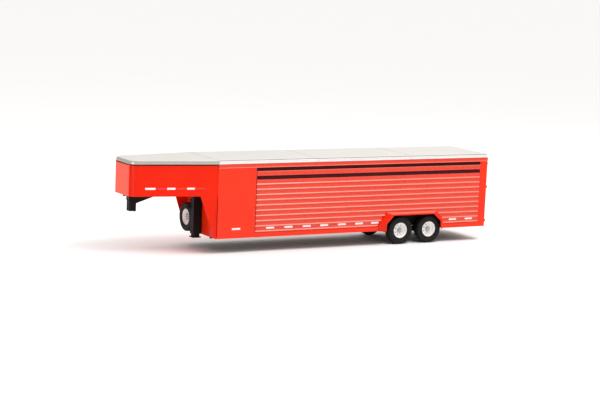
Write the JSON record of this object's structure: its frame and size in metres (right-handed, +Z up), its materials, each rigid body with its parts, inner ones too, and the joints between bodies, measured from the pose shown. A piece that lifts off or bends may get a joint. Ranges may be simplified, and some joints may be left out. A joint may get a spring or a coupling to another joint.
{
  "type": "gooseneck livestock trailer",
  "caption": "Tandem-axle gooseneck stock trailer: ribbed slatted sides, tapered nose over the coupler, jack, spare wheel, swing gates, side door and roof.",
  "frame": {"origin": "ground level under the centre of the bounding box", "axes": "+X towards the nose and coupler, +Y to the trailer's left, +Z up"},
  "size_m": [11.065, 2.06, 2.5109],
  "materials": {
    "red_paint": "gloss",
    "roof_white": "satin",
    "black_paint": "satin",
    "cover_maroon": "matte",
    "wheel_white": "gloss",
    "grey_steel": "satin",
    "plank": "matte",
    "tyre_rubber": "matte",
    "tape_white": "gloss",
    "tape_red": "gloss",
    "lamp_red": "gloss"
  },
  "bodies": {
    "chassis": {"frame_rails": "black_paint", "cross_members": "black_paint", "bottom_rails": "red_paint", "floor_planks": "plank", "bulkhead": "red_paint", "nose_floor": "red_paint", "nose_skin": "red_paint", "nose_frame": "red_paint", "nose_wings": "red_paint", "front_panel_left": "red_paint", "front_panel_right": "red_paint", "side_posts": "black_paint", "ribbed_panel_left": "red_paint", "ribbed_panel_right": "red_paint", "vent_slats": "red_paint", "vent_covers": "cover_maroon", "top_rails": "red_paint", "rear_frame": "red_paint", "wheel_wells": "black_paint", "fender_left": "red_paint", "fender_right": "red_paint", "roof_nose": "roof_white", "roof_front": "roof_white", "roof_middle": "roof_white", "roof_rear": "roof_white", "roof_bows": "roof_white", "gooseneck_beams": "black_paint", "coupler_sleeve": "black_paint", "jack_housing": "black_paint", "axle_front": "black_paint", "axle_rear": "black_paint", "spare_tyre": "tyre_rubber", "spare_rim": "wheel_white", "spare_bracket": "black_paint", "gate_fittings": "grey_steel", "door_hinges": "grey_steel", "tape_white": "tape_white", "tape_red": "tape_red", "tail_lamps": "lamp_red"},
    "wheel_front_left": {"tyre_front_left": "tyre_rubber", "rim_front_left": "wheel_white", "hub_front_left": "grey_steel"},
    "wheel_front_right": {"tyre_front_right": "tyre_rubber", "rim_front_right": "wheel_white", "hub_front_right": "grey_steel"},
    "wheel_rear_left": {"tyre_rear_left": "tyre_rubber", "rim_rear_left": "wheel_white", "hub_rear_left": "grey_steel"},
    "wheel_rear_right": {"tyre_rear_right": "tyre_rubber", "rim_rear_right": "wheel_white", "hub_rear_right": "grey_steel"},
    "jack_leg": {"jack_leg": "black_paint"},
    "jack_crank": {"jack_crank": "black_paint"},
    "coupler_post": {"coupler_post": "black_paint"},
    "coupler_latch": {"coupler_latch": "grey_steel"},
    "rear_gate": {"rear_gate": "red_paint"},
    "slider_gate": {"slider_gate": "red_paint"},
    "gate_latch": {"gate_latch": "grey_steel"},
    "centre_gate": {"centre_gate": "red_paint"},
    "escape_door": {"escape_door": "red_paint"}
  },
  "joints": [
    {"name": "spin_front_left", "type": "hinge", "parent": "chassis", "child": "wheel_front_left", "pos_m": [-2.6175, 0.8, 0.391], "axis": [0, 1, 0], "continuous": true},
    {"name": "spin_front_right", "type": "hinge", "parent": "chassis", "child": "wheel_front_right", "pos_m": [-2.6175, -0.8, 0.391], "axis": [0, 1, 0], "continuous": true},
    {"name": "spin_rear_left", "type": "hinge", "parent": "chassis", "child": "wheel_rear_left", "pos_m": [-3.5675, 0.8, 0.391], "axis": [0, 1, 0], "continuous": true},
    {"name": "spin_rear_right", "type": "hinge", "parent": "chassis", "child": "wheel_rear_right", "pos_m": [-3.5675, -0.8, 0.391], "axis": [0, 1, 0], "continuous": true},
    {"name": "jack_crank_turn", "type": "hinge", "parent": "chassis", "child": "jack_crank", "pos_m": [3.4775, -0.13, 1.325], "axis": [1, 0, 0], "range_deg": [0, 4600]},
    {"name": "jack_extend", "type": "slide", "parent": "chassis", "child": "jack_leg", "axis": [0, 0, -1], "range_m": [0, 0.32]},
    {"name": "coupler_height", "type": "slide", "parent": "chassis", "child": "coupler_post", "axis": [0, 0, -1], "range_m": [-0.1, 0.15]},
    {"name": "coupler_latch_turn", "type": "hinge", "parent": "coupler_post", "child": "coupler_latch", "pos_m": [5.1825, 0, 1.1035], "axis": [0, 0, -1], "range_deg": [0, 90]},
    {"name": "rear_gate_swing", "type": "hinge", "parent": "chassis", "child": "rear_gate", "pos_m": [-5.4775, 0.905, 1.06], "axis": [0, 0, -1], "range_deg": [0, 180]},
    {"name": "slider_gate_slide", "type": "slide", "parent": "rear_gate", "child": "slider_gate", "axis": [0, 1, 0], "range_m": [0, 0.83]},
    {"name": "gate_latch_turn", "type": "hinge", "parent": "rear_gate", "child": "gate_latch", "pos_m": [-5.5025, -0.875, 0.9], "axis": [1, 0, 0], "range_deg": [0, 90]},
    {"name": "centre_gate_swing", "type": "hinge", "parent": "chassis", "child": "centre_gate", "pos_m": [-1.1525, 0.835, 1.38], "axis": [0, 0, 1], "range_deg": [-70, 90]},
    {"name": "escape_door_swing", "type": "hinge", "parent": "chassis", "child": "escape_door", "pos_m": [2.8615, -0.975, 1.36], "axis": [0, 0, 1], "range_deg": [0, 150]}
  ],
  "couplings": [
    {"joint": "jack_extend", "follows": "jack_crank_turn", "m_per_rad": 0.0039789}
  ]
}
